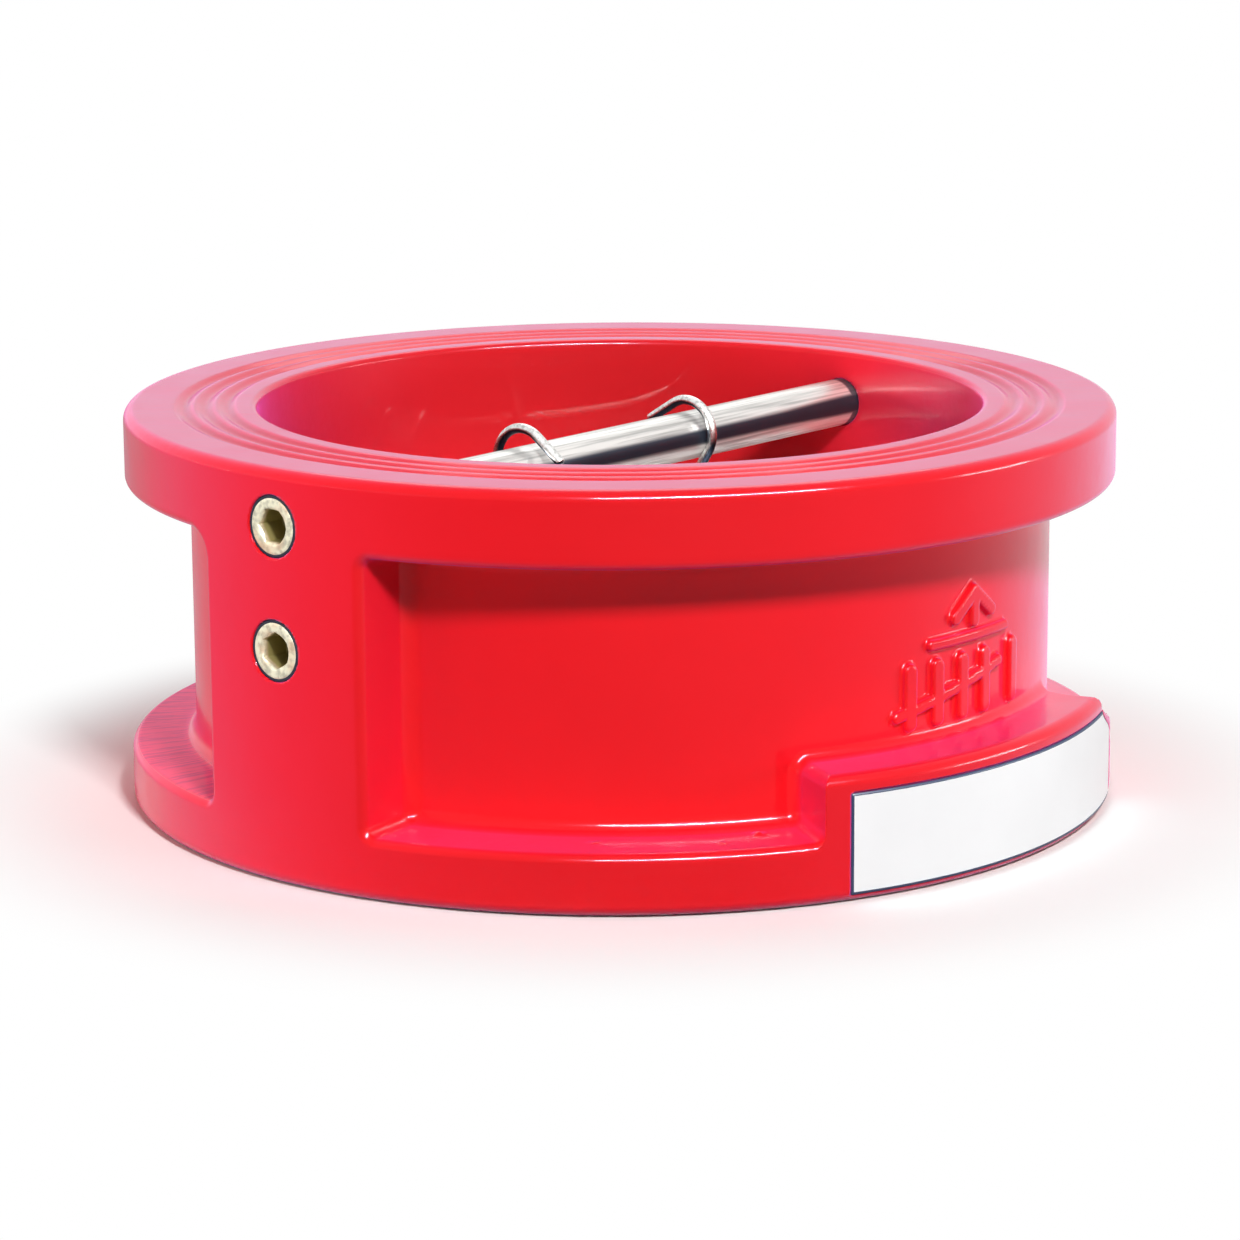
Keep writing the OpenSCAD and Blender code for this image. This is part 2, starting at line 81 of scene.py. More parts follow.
# Ribs of the lugs: cosine and sine of the sloping top, a point on it measured from the hinge's axis, and how
# far a rib stays from the hinge's plane and from the disc's rim
RIB_COS, RIB_SIN, RIB_Y, RIB_Z = 0.872, 0.490, -6.2, 2.8
RIB_FACE_Y, RIB_INSET = 1.5, 1.4

# Springs: wire, coil, hook over the stop pin and leg on the plate
WIRE_R, COIL_R, COIL_LEN, COIL_TURNS = 0.8, 5.75, 18.8, 11
HOOK_R, HOOK_TAIL, SPRING_LEG = 5.33, 5.9, 22.5
LEG_DEPTH = HINGE_Z - PLATE_Z - PLATE_T - 0.02
# Each spring has its hook's X, its direction along X, its hook's offset, rise and tip angle, and its plate
SPRINGS = (("spring_back", -23.3, 1, (-0.37, 20.5, 126), "back_plate"),
           ("spring_front", 17.5, -1, (0.29, 19.55, 121.5), "front_plate"))

# Strokes of the relief: both ends, along the waist from the -Y line and in height, and the half width
ARROW = ((1.0, 36.8, 1.0, 40.6, 1.1), (-3.6, 37.8, 1.0, 41.4, 1.1), (5.6, 37.8, 1.0, 41.4, 1.1))
UNDERLINE = ((-9.0, 34.4, 10.0, 34.4, 0.8),)
TALLY = ((-16.0, 24.2, 8.0, 29.2, 0.9), *((x, 22.9, x, 31.0, 1.25) for x in (-13.4, -7.6, -1.8, 4.0, 12.6)))

# Beads of paint on the inlet rim: distance from the axis, angle, height and radius
BEADS = ((70.6, -168.4, 11.2, 1.0), (73.1, -123.5, 9.7, 0.8),
         (74.0, -142.6, 9.5, 0.6), (75.5, -128.4, 9.3, 0.6))
BEAD_FILLET = 0.5

# Radii of the casting's edges and fillets, the slope of the rims' inner sides, and the relief's height
RIM_EDGE, FACE_EDGE, BORE_EDGE, PAD_EDGE, WAIST_FILLET, PAD_FILLET = 1.3, 1.8, 1.0, 1.8, 2.2, 1.8
FLARE_R, RIM_DRAFT = 14.0, 0.07
# The bosses' fillets are wider under the outlet rim on the +Y side
BOSS_FILLET, BOSS_FILLET_MORE = 1.8, 2.9
GLYPH_H, GLYPH_EDGE, GLYPH_FILLET = 1.1, 0.45, 0.5
# How far raised shapes start below the waist, so that they grow out of it
FLARE_ROOT, PAD_ROOT, GLYPH_ROOT = 4.5, 6.0, 1.5


# Distance fields. A field is negative inside the solid, and the joins below keep or round its corners.

def join(a, b, r):
    """Union with a concave fillet of radius r where the two meet."""
    corner = np.hypot(np.maximum(r - a, 0), np.maximum(r - b, 0))
    return np.maximum(r, np.minimum(a, b)) - corner


def meet(a, b, r):
    """Intersection with the outer corner rounded to radius r."""
    corner = np.hypot(np.maximum(r + a, 0), np.maximum(r + b, 0))
    return np.minimum(-r, np.maximum(a, b)) + corner


def cut(a, b, r):
    """a without b, with the new edge rounded to radius r."""
    return meet(a, -b, r)


def slab(v, low, high):
    return np.maximum(low - v, v - high)


def ramp(v, low, high):
    """Smooth step from 0 at low to 1 at high."""
    t = np.clip((v - low) / (high - low), 0, 1)
    return t * t * (3 - 2 * t)


def sector(x, y, angle):
    """Distance to the plane through the axis at that angle, positive on its clockwise side."""
    a = math.radians(angle)
    return x * math.sin(a) - y * math.cos(a)


def band_distance(theta, angle):
    """Distance along the waist from the line at that angle, positive counter-clockwise."""
    turn = np.mod(theta - math.radians(angle) + math.pi, 2 * math.pi) - math.pi
    return turn * WAIST_R


def ridge_depth(r):
    wave = RIDGE_DEPTH / 2 * (1 - np.cos(2 * np.pi * (r - RIDGE_START) / RIDGE_PITCH))
    inside = (r > RIDGE_START) & (r < RIDGE_START + RIDGE_COUNT * RIDGE_PITCH)
    return np.where(inside, wave, 0)


def pad_slope(z):
    """How far the far end of the pad and the label lean out towards the foot, from 0 to 1."""
    return ramp(-z, -SLOPE_TOP, -SLOPE_LOW)


def label_pad(x, y, z, r):
    """Thick part of the inlet rim: straight at its near end, flared into the waist at its far end."""
    near = sector(x, y, PAD_NEAR)
    far = -sector(x, y, PAD_FAR) - math.radians(PAD_FOOT - PAD_FAR) * BODY_R * pad_slope(z)
    flare = join(far, r - (WAIST_R - FLARE_ROOT), FLARE_R)
    plan = np.where(far > near, np.maximum(near, flare), np.maximum(near, far))
    plan = np.maximum(plan, WAIST_R - PAD_ROOT - r)
    return meet(np.maximum(plan, r - BODY_R), z - PAD_H, PAD_EDGE)


def label_edge(x, y, z):
    """Distance to the outline of the label, whose far end leans with the pad."""
    lean = math.radians(LABEL_TO - LABEL_LEAN) * BODY_R * (1 - pad_slope(z + LABEL_MARGIN))
    far = -sector(x, y, LABEL_TO) + lean
    return np.maximum(np.maximum(far, sector(x, y, LABEL_FROM)), slab(z, LABEL_Z0, LABEL_Z1))


def stroke(u, v, x0, y0, x1, y1, half):
    """Flat bar with round ends in the plane of the relief."""
    dx, dy = x1 - x0, y1 - y0
    t = np.clip(((u - x0) * dx + (v - y0) * dy) / (dx * dx + dy * dy), 0, 1)
    return np.hypot(u - x0 - t * dx, v - y0 - t * dy) - half


def relief(theta, z):
    """Flow arrow over a bar, and a tally of plain strokes below them on the waist."""
    u = band_distance(theta, -90.0)
    return np.minimum.reduce([stroke(u, z, *ends) for ends in ARROW + UNDERLINE + TALLY])


def body_field(x, y, z):
    """The painted casting without the bar across its inlet."""
    r = np.hypot(x, y)
    theta = np.arctan2(y, x)
    draft = RIM_DRAFT * (BODY_R - r)
    rims = np.minimum(z - LOW_RIM_Z, HIGH_RIM_Z - z) - draft
    boss = np.abs(y) - BOSS_HALF_W
    corner = BOSS_FILLET + BOSS_FILLET_MORE * ramp(y, 0, 4) * ramp(z, 25, 35)
    raised = join(rims, boss, corner)
    outer = join(meet(raised, r - BODY_R, RIM_EDGE), r - WAIST_R, WAIST_FILLET)
    outer = join(outer, label_pad(x, y, z, r), PAD_FILLET)
    for bead_r, angle, bead_z, size in BEADS:
        a = math.radians(angle)
        ball = np.sqrt((x - bead_r * math.cos(a)) ** 2 + (y - bead_r * math.sin(a)) ** 2 + (z - bead_z) ** 2)
        outer = join(outer, ball - size, BEAD_FILLET)
    glyphs = meet(relief(theta, z), r - WAIST_R - GLYPH_H, GLYPH_EDGE)
    outer = join(outer, np.maximum(glyphs, WAIST_R - GLYPH_ROOT - r), GLYPH_FILLET)
    outer = meet(outer, r - BODY_R, 0.02)
    outer = meet(outer, z - BODY_H + ridge_depth(r), FACE_EDGE)
    outer = meet(outer, ridge_depth(r) - z, FACE_EDGE)
    hollow = np.minimum(np.maximum(r - OUTLET_R, LEDGE_Z - z), r - INLET_R)
    body = cut(outer, hollow, BORE_EDGE)
    lobe = np.minimum(np.hypot(y, z - HINGE_Z) - INNER_BOSS_R,
                      np.maximum(np.abs(y) - INNER_BOSS_R, z - HINGE_Z))
    lobe = meet(lobe, INNER_BOSS_X - np.abs(x), 0.8)
    lobe = np.maximum(lobe, LEDGE_Z - 1 - z)
    body = join(body, np.maximum(lobe, r - OUTLET_R - 1), 1.2)
    for pin_z in (HINGE_Z, STOP_Z):
        q = np.hypot(y, z - pin_z)
        body = cut(body, np.maximum(q - PIN_R - PIN_FIT, PIN_HOLE_X - np.abs(x)), 0.25)
        body = cut(body, np.maximum(q - PLUG_HOLE_R, PLUG_SEAT_X - np.abs(x)), 0.2)
    seat = np.maximum(label_edge(x, y, z) - 0.1, BODY_R - LABEL_T - r)
    return np.maximum(body, -seat)


def plate_field(x, y, z):
    """Cast half disc for the -Y side, with its lugs, ribs and stop buttons."""
    r = np.hypot(x, y)
    disc = meet(r - PLATE_R, z - PLATE_Z - PLATE_T, 1.2)
    disc = meet(disc, y + PLATE_GAP, 0.5)
    solid = meet(disc, PLATE_Z - z, 0.25)
    foot = PLATE_Z + PLATE_T
    top = HINGE_Z + (STOP_Z - HINGE_Z) * math.cos(math.radians(OPEN_ANGLE)) - PIN_R - RUNNING_GAP
    reach = (STOP_Z - HINGE_Z) * math.sin(math.radians(OPEN_ANGLE))
    q = np.hypot(y, z - HINGE_Z)
    rib_top = (z - HINGE_Z - RIB_Z) * RIB_COS - (y - RIB_Y) * RIB_SIN
    for x0 in (-LUG_OUTER_X - LUG_W, LUG_INNER_X):
        side = slab(x, x0, x0 + LUG_W)
        rib = meet(np.maximum(rib_top, y + RIB_FACE_Y), r - PLATE_R + RIB_INSET, 0.6)
        rib = np.maximum(rib, foot - PLATE_ROOT - z)
        lug = meet(np.minimum(q - LUG_R, rib), side, 0.7)
        solid = join(solid, lug, 1.0)
    for bx in (-BUTTON_X, BUTTON_X):
        d = np.hypot(x - bx, y + reach)
        button = meet(d - BUTTON_R - BUTTON_DRAFT * np.maximum(top - z, 0), z - top, 0.8)
        solid = join(solid, np.maximum(button, foot - PLATE_ROOT - z), 1.2)
    # Only the lugs reach over the edge where the two plates meet
    solid = np.where((y > -1.2) & (z > foot - 0.2) & (q > LUG_R), np.maximum(solid, 0.05), solid)
    return cut(solid, q - PIN_R - RUNNING_GAP, 0.3)


def plug_field(turn):
    """Threaded plug along local X, its face at 0 and the thread going to +X."""
    slant = 0.7  # turns a radial distance into the distance to a sloping flank

    def field(x, y, z):
        q = np.hypot(y, z)
        wave = np.abs(np.mod(x - 0.6, PLUG_PITCH) / PLUG_PITCH - 0.5) * 2
        crest = 0.44 * np.clip(1.5 * wave - 0.3, 0, 1)
        thread = PLUG_R - THREAD_DEPTH + np.where((x > 0.4) & (x < PLUG_LEN - 0.5), crest, 0.25)
        body = meet(meet((q - thread) * slant, -x, 0.35), x - PLUG_LEN, 0.3)
        angle = np.arctan2(z, y) + math.radians(turn)
        wedge = np.mod(angle + math.pi / 6, math.pi / 3) - math.pi / 6
        hexagon = q * np.cos(wedge) - SOCKET_W / 2
        socket = np.maximum(hexagon, x - SOCKET_DEPTH)
        tip = np.clip((DRILL_DEPTH - x) / 1.4, 0, 1)
        drill = np.maximum(q - (SOCKET_W / 2 - 0.15) * tip, x - DRILL_DEPTH)
        body = cut(body, np.minimum(socket, drill), 0.16)
        return cut(body, (q - SOCKET_W / 2 - SOCKET_CHAMFER + x) * slant, 0.1)
    return field


# Mesh building

def halves(axis):
    """Indices of all grid points but the last along an axis, and of all but the first."""
    low, high = [slice(None)] * 3, [slice(None)] * 3
    low[axis], high[axis] = slice(None, -1), slice(1, None)
    return tuple(low), tuple(high)


def surface_net(field, axes, polar=False):
    """Vertices, faces and normals of a field's zero surface on a grid. Each crossed cell gets one vertex.
    With polar, the axes are the angle (closed on itself), the radius and the height."""
    a0, a1, a2 = axes

    def place(u, v, w):
        return (v * np.cos(u), v * np.sin(u), w) if polar else (u, v, w)

    grid = np.meshgrid(a0, a1, a2, indexing="ij")
    value = field(*place(*grid)).astype(np.float64)
    if polar:
        value = np.concatenate([value, value[:1]], axis=0)
        a0 = np.concatenate([a0, a0[:1] + 2 * math.pi])
    inside = value < 0
    coords = (a0, a1, a2)
    sizes = tuple(len(a) - 1 for a in coords)
    total = np.zeros((*sizes, 3))
    count = np.zeros(sizes)
    for axis in range(3):
        low, high = halves(axis)
        va, vb = value[low], value[high]
        hit = (va < 0) != (vb < 0)
        t = np.where(hit, va / np.where(hit, va - vb, 1), 0)
        point = [np.broadcast_to(np.expand_dims(c, [k for k in range(3) if k != i]), value.shape)[low]
                 for i, c in enumerate(coords)]
        shape = [1, 1, 1]
        shape[axis] = -1
        point[axis] = point[axis] + t * np.diff(coords[axis]).reshape(shape)
        p, q = [k for k in range(3) if k != axis]
        for dp, dq in ((0, 0), (0, 1), (1, 0), (1, 1)):
            cells = [slice(None)] * 3
            cells[p], cells[q] = slice(dp, dp + sizes[p]), slice(dq, dq + sizes[q])
            cells = tuple(cells)
            count += hit[cells]
            for k in range(3):
                total[..., k] += np.where(hit[cells], point[k][cells], 0)
    used = count > 0
    index = -np.ones(used.shape, dtype=np.int64)
    index[used] = np.arange(used.sum())
    middle = total[used] / count[used][:, None]
    verts = np.stack(place(middle[:, 0], middle[:, 1], middle[:, 2]), axis=1)
    faces = []
    for axis in range(3):
        low, high = halves(axis)
        ia, ib = inside[low], inside[high]
        flip = ia & ~ib
        p, q = [k for k in range(3) if k != axis]
        where = np.argwhere(ia != ib)
        keep = np.ones(len(where), bool)
        for k in (p, q):
            first = 0 if polar and k == 0 else 1
            keep &= (where[:, k] >= first) & (where[:, k] < sizes[k])
        where = where[keep]
        corners = []
        for dp, dq in ((0, 0), (1, 0), (1, 1), (0, 1)):
            cell = where.copy()
            cell[:, p] = (cell[:, p] - dp) % sizes[p]
            cell[:, q] = (cell[:, q] - dq) % sizes[q]
            corners.append(index[cell[:, 0], cell[:, 1], cell[:, 2]])
        quad = np.stack(corners, axis=1)
        turned = flip[tuple(where.T)] == (axis != 1)
        quad[~turned] = quad[~turned][:, ::-1]
        faces.append(quad)
    faces = np.concatenate(faces)
    if polar:
        faces = faces[:, ::-1]
    cell_size = min(np.diff(a1).min(), np.diff(a2).min())
    return (*settle(field, verts, cell_size), faces)


def gradient(field, v, h=0.02):
    g = np.empty_like(v)
    for k in range(3):
        d = np.zeros(3)
        d[k] = h
        g[:, k] = (field(*(v + d).T) - field(*(v - d).T)) / (2 * h)
    return g


def settle(field, verts, reach):
    """Moves vertices onto the zero surface, and returns them with the surface's normals."""
    start = verts.copy()
    for _ in range(3):
        g = gradient(field, verts)
        length = np.maximum((g * g).sum(1), 0.05)
        verts = verts - g * (field(*verts.T) / length)[:, None]
        moved = verts - start
        far = np.linalg.norm(moved, axis=1, keepdims=True)
        verts = start + moved * np.minimum(1, reach / np.maximum(far, 1e-9))
    g = gradient(field, verts, 0.05)
    return verts, g / np.maximum(np.linalg.norm(g, axis=1, keepdims=True), 1e-9)


def add_mesh(name, verts, faces, normals=None):
    """Object from arrays in millimetres."""
    mesh = bpy.data.meshes.new(name)
    mesh.from_pydata((np.asarray(verts) * MM).tolist(), [], [tuple(int(i) for i in f) for f in faces])
    mesh.update()
    mesh.shade_smooth()
    if normals is not None:
        mesh.normals_split_custom_set_from_vertices(np.asarray(normals).tolist())
    obj = bpy.data.objects.new(name, mesh)
    bpy.context.scene.collection.objects.link(obj)
    return obj


def graded(*spans):
    """Grid positions from spans of (start, end, step)."""
    parts = [np.linspace(a, b, max(2, int(round((b - a) / s)) + 1))[:-1] for a, b, s in spans]
    return np.concatenate(parts + [np.array([spans[-1][1]])])


def lathe(name, profile, x0, z0, steps=96):
    """Ring or shaft turned about the X line at height z0. profile is a closed loop of (x, radius)."""
    angles = np.linspace(0, 2 * math.pi, steps, endpoint=False)
    loop = np.array(profile, float)
    m = len(loop)
    verts = [(x0 + x, r * math.cos(a), z0 + r * math.sin(a)) for a in angles for x, r in loop]
    faces = []
    for i in range(steps):
        j = (i + 1) % steps
        for k in range(m):
            n = (k + 1) % m
            if loop[k][1] < 1e-6 and loop[n][1] < 1e-6:
                continue
            faces.append((i * m + k, i * m + n, j * m + n, j * m + k))
    obj = add_mesh(name, verts, faces)
    tidy_mesh(obj)
    return obj


def tidy_mesh(obj, sharp=35):
    """Welds doubled points, turns the faces outwards and keeps edges above an angle crisp."""
    bm = bmesh.new()
    bm.from_mesh(obj.data)
    bmesh.ops.remove_doubles(bm, verts=bm.verts, dist=1e-7)
    bmesh.ops.recalc_face_normals(bm, faces=bm.faces)
    bm.to_mesh(obj.data)
    bm.free()
    obj.data.shade_smooth()
    obj.data.set_sharp_from_angle(angle=math.radians(sharp))


def tube(name, path, radius, sides):
    """Round wire along a path that never runs along X, with rounded ends."""
    p = np.asarray(path, float)
    d = np.gradient(p, axis=0)
    d /= np.linalg.norm(d, axis=1, keepdims=True)
    u = np.cross(d, (1, 0, 0))
    u /= np.linalg.norm(u, axis=1, keepdims=True)
    v = np.cross(d, u)
    dome = [(0.94, 0.35), (0.72, 0.72), (0.40, 0.95)]
    rings = [(p[0] - d[0] * radius * 0.5 * out, radius * k, 0) for k, out in reversed(dome)]
    rings += [(c, radius, i) for i, c in enumerate(p)]
    rings += [(p[-1] + d[-1] * radius * 0.5 * out, radius * k, len(p) - 1) for k, out in dome]
    angles = np.linspace(0, 2 * math.pi, sides, endpoint=False)
    verts = [c + r * (math.cos(a) * u[i] + math.sin(a) * v[i]) for c, r, i in rings for a in angles]
    faces = []
    for i in range(len(rings) - 1):
        for k in range(sides):
            n = (k + 1) % sides
            faces.append((i * sides + k, i * sides + n, (i + 1) * sides + n, (i + 1) * sides + k))
    faces.append(tuple(range(sides))[::-1])
    faces.append(tuple((len(rings) - 1) * sides + k for k in range(sides)))
    obj = add_mesh(name, verts, faces)
    tidy_mesh(obj, 60)
    return obj


# Pieces

def make_casting():
    """The painted body, on a ring grid that is finest at the bosses, the label pad and the relief."""
    fine, coarse = 0.30, 0.75
    turns = np.radians(graded(
        (-180, -164, fine), (-164, -121, coarse), (-121, -110, fine), (-110, -104, 0.5), (-104, -76, 0.27),
        (-76, -50, 0.4), (-50, -16, coarse), (-16, 16, fine), (16, 164, coarse), (164, 180, fine))[:-1])
    radii = graded((44.2, 46.4, 0.5), (46.4, 57.4, 1.4), (57.4, 60.2, 0.35), (60.2, 72.6, 0.45),
                   (72.6, 77.4, 0.8), (77.4, 80.8, 0.35))
    heights = graded((-0.7, 3.4, 0.4), (3.4, 8, 0.8), (8, 14, 0.45), (14, 17.5, 0.7), (17.5, 24, 0.45),
                     (24, 48, 0.5), (48, 56.5, 0.42), (56.5, 61, 0.6), (61, 64.7, 0.36))
    verts, normals, faces = surface_net(body_field, (turns, radii, heights), polar=True)
    body = add_mesh("casting", verts, faces, normals)
    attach(body, "casing")
    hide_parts("valve_body")
    return body


def bar_field(x, y, z):
    """Bar with a blunt wedge below, twice BAR_TIP wide at its foot, and fillets at the bore's wall."""
    slope = (np.abs(y) - BAR_TIP) * BAR_COS - (z - BAR_Z) * BAR_SIN
    bar = meet(np.abs(y) - BAR_HALF_W, BAR_Z - z, 1.0)
    bar = meet(bar, slope, 1.2)
    bar = meet(bar, z - LEDGE_Z, 0.3)
    wall = np.maximum(INLET_R + 0.3 - np.hypot(x, y), 3.0 - z)
    bar = join(bar, np.maximum(wall, z - LEDGE_Z), 2.5)
    return np.maximum(bar, np.hypot(x, y) - INLET_R - 0.9)


def make_bar():
    """Bar across the inlet that carries the middle of the seat."""
    xs = graded((-46.6, -38, 0.5), (-38, 38, 1.5), (38, 46.6, 0.5))
    ys = graded((-11, 11, 0.5))
    zs = graded((4.0, 23.2, 0.5))
    verts, normals, faces = surface_net(bar_field, (xs, ys, zs))
    bar = add_mesh("inlet_bar", verts, faces, normals)
    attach(bar, "casing")
    return bar


def make_plates():
    xs = graded((-53.6, -26, 0.45), (-26, 26, 0.9), (26, 53.6, 0.45))
    ys = graded((-53.2, -26, 0.8), (-26, 7.4, 0.45))
    zs = graded((23.8, 30.6, 0.4), (30.6, 43.4, 0.5))
    verts, normals, faces = surface_net(plate_field, (xs, ys, zs))
    made = []
    for name, turn, body in (("plate_front", 1, "front_plate"), ("plate_back", -1, "back_plate")):
        spin = np.array([turn, turn, 1])
        plate = add_mesh(name + "_cast", verts * spin, faces, normals * spin)
        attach(plate, body)
        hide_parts(name)
        made.append(plate)
    return made


def make_pins():
    made = []
    for name, z in (("hinge_pin", HINGE_Z), ("stop_pin", STOP_Z)):
        half, r, c = PIN_HALF, PIN_R, PIN_CHAMFER
        profile = [(-half, 0), (-half, r - c), (-half + 0.2, r - 0.25), (-half + c, r)]
        profile += [(x, r) for x in np.linspace(-half + 4, half - 4, 24)]
        profile += [(half - c, r), (half - 0.2, r - 0.25), (half, r - c), (half, 0)]
        pin = lathe(name + "_turned", profile, 0, z)
        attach(pin, "casing")
        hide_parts(name)
        made.append(pin)
    return made


def make_plugs():
    cells = (graded((-0.5, 6.6, 0.2), (6.6, 8.4, 0.3)), graded((-5.2, 5.2, 0.2)), graded((-5.2, 5.2, 0.2)))
    made = []
    for pin, end, side, z, turn in PLUGS:
        name = f"{pin}_plug_{end}"
        verts, normals, faces = surface_net(plug_field(turn), cells)
        if side > 0:
            verts, normals, faces = verts * [-1, 1, 1], normals * [-1, 1, 1], faces[:, ::-1]
        plug = add_mesh(name + "_cut", verts + [side * PLUG_FACE_X, 0, z], faces, normals)
        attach(plug, "casing")
        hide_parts(name)
        made.append(plug)
    return made


def make_gap_shades():
    """Painted shade: a dark blue-black ring that fills the gap round each plug, just below its face."""
    inner, outer, depth = PLUG_R - 0.3, PLUG_HOLE_R - 0.01, 0.6
    profile = [(0.12, inner), (0.07, inner + 0.15), (0.12, outer - 0.12), (0.22, outer), (depth, outer),
               (depth, inner)]
    made = []
    for pin, end, side, z, _ in PLUGS:
        loop = [(side * (PLUG_FACE_X - x), r) for x, r in profile]
        ring = lathe(f"{pin}_{end}_sealant", loop, 0, z, 64)
        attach(ring, "casing")
        made.append(ring)
    return made


def spring_path(offset, rise, tip):
    """Middle of the wire from the free tip of the hook, down to the coil and out along the plate."""
    a = math.asin((HOOK_R + COIL_R) / math.hypot(rise, offset)) - math.atan(offset / rise)
    tip = math.radians(tip)
    hook = [(0, -offset + HOOK_R * math.cos(t), rise + HOOK_R * math.sin(t))
            for t in np.linspace(tip, -a, 40)]
    tail = [(0, hook[0][1] - math.sin(tip) * s, hook[0][2] + math.cos(tip) * s)
            for s in np.linspace(HOOK_TAIL, 0.5, 8)]
    first = math.pi - a
    drop = math.asin((LEG_DEPTH - WIRE_R - COIL_R) / SPRING_LEG)
    last = math.radians(270) - drop + 2 * math.pi * COIL_TURNS
    top = (0, COIL_R * math.cos(first), COIL_R * math.sin(first))
    straight = [tuple(p) for p in np.linspace(hook[-1], top, 14)]
    steps = COIL_TURNS * 40
    coil = []
    for i in range(steps + 1):
        t = first + (last - first) * i / steps
        coil.append((COIL_LEN * i / steps, COIL_R * math.cos(t), COIL_R * math.sin(t)))
    end = coil[-1]
    leg = [(end[0], end[1] + SPRING_LEG * s * math.cos(drop), end[2] - SPRING_LEG * s * math.sin(drop))
           for s in np.linspace(0.04, 1, 14)]
    return np.array(tail + hook + straight[1:-1] + coil + leg)


def make_springs():
    made = []
    for name, x, turn, hook, body in SPRINGS:
        path = spring_path(*hook) * [turn, turn, 1] + [x, 0, HINGE_Z]
        spring = tube(name + "_wire", path, WIRE_R, 16)
        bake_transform(spring)
        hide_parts(name)
        made.append(spring)
    return made


def make_label():
    """White sheet with a dark printed edge, curved round the pad."""
    rows = graded((LABEL_Z0, LABEL_Z0 + LABEL_BORDER, LABEL_BORDER), (LABEL_Z0 + LABEL_BORDER, 11, 1.6),
                  (11, LABEL_Z1 - LABEL_BORDER, 0.45), (LABEL_Z1 - LABEL_BORDER, LABEL_Z1, LABEL_BORDER))
    columns = 60
    verts, faces, inked = [], [], []
    for k, z in enumerate(rows):
        lean = float(pad_slope(z + LABEL_MARGIN))
        end = LABEL_LEAN + (LABEL_TO - LABEL_LEAN) * lean
        length = math.radians(end - LABEL_FROM) * BODY_R
        inner = np.linspace(LABEL_BORDER, length - LABEL_BORDER, columns - 1)
        for c, u in enumerate([0, *inner, length]):
            edge = k in (0, len(rows) - 1) or c in (0, columns)
            r = BODY_R - (0.05 if edge else 0.02)
            a = math.radians(LABEL_FROM) + u / BODY_R
            verts.append((r * math.cos(a), r * math.sin(a), z))
    wide = columns + 1
    for k in range(len(rows) - 1):
        for c in range(columns):
            faces.append((k * wide + c, k * wide + c + 1, (k + 1) * wide + c + 1, (k + 1) * wide + c))
            inked.append(k in (0, len(rows) - 2) or c in (0, columns - 1))
    last = len(rows) - 1
    rim = list(range(columns)) + [k * wide + columns for k in range(last)]
    rim += [last * wide + columns - c for c in range(columns)] + [k * wide for k in range(last, 0, -1)]
    sunk = (BODY_R - LABEL_T) / BODY_R
    base = len(verts)
    verts += [(verts[i][0] * sunk, verts[i][1] * sunk, verts[i][2]) for i in rim]
    for i in range(len(rim)):
        n = (i + 1) % len(rim)
        faces.append((rim[n], rim[i], base + i, base + n))
        inked.append(True)
    sheet = add_mesh("label_sheet", verts, faces)
    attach(sheet, "casing")
    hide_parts("nameplate")
    return sheet, inked


# Materials

def new_material(name, color, roughness, metallic=0.0):
    mat = bpy.data.materials.new(name)
    mat.use_nodes = True
    shader = mat.node_tree.nodes["Principled BSDF"]
    shader.inputs["Base Color"].default_value = (*color, 1)
    shader.inputs["Roughness"].default_value = roughness
    shader.inputs["Metallic"].default_value = metallic
    return mat, mat.node_tree.nodes, mat.node_tree.links, shader


def noise(nodes, links, scale, detail=3.0, stretch=(1, 1, 1), rough=0.5, place=None):
    """Noise on object coordinates, or on place. scale is in cells a metre."""
    coord = nodes.new("ShaderNodeTexCoord")
    mapping = nodes.new("ShaderNodeMapping")
    mapping.inputs["Scale"].default_value = stretch
    tex = nodes.new("ShaderNodeTexNoise")
    tex.inputs["Scale"].default_value = scale
    tex.inputs["Detail"].default_value = detail
    tex.inputs["Roughness"].default_value = rough
    links.new(place or coord.outputs["Object"], mapping.inputs["Vector"])
    links.new(mapping.outputs["Vector"], tex.inputs["Vector"])
    return tex.outputs["Fac"]


def remap(nodes, links, value, low, high, to_low, to_high, smooth=False):
    """Straight rescaling of a value, or a smooth step that stays within its ends."""
    node = nodes.new("ShaderNodeMapRange")
    node.clamp = smooth
    node.interpolation_type = "SMOOTHSTEP" if smooth else "LINEAR"
    node.inputs["From Min"].default_value = low
    node.inputs["From Max"].default_value = high
    node.inputs["To Min"].default_value = to_low
    node.inputs["To Max"].default_value = to_high
    links.new(value, node.inputs["Value"])
    return node.outputs["Result"]


def mix_color(nodes, links, fac, a, b):
    node = nodes.new("ShaderNodeMix")
    node.data_type = "RGBA"
    for socket, value in ((node.inputs[6], a), (node.inputs[7], b)):
        if isinstance(value, tuple):
            socket.default_value = (*value, 1)
        else:
            links.new(value, socket)
    links.new(fac, node.inputs[0])
    return node.outputs[2]


def bump(nodes, links, shader, *layers):
    """Stacks height layers of (value, depth in metres, strength) under the shader's normal."""
    last = None
    for value, depth, strength in layers:
        node = nodes.new("ShaderNodeBump")
        node.inputs["Distance"].default_value = depth
        node.inputs["Strength"].default_value = strength
        links.new(value, node.inputs["Height"])
        if last:
            links.new(last, node.inputs["Normal"])
        last = node.outputs["Normal"]
    links.new(last, shader.inputs["Normal"])


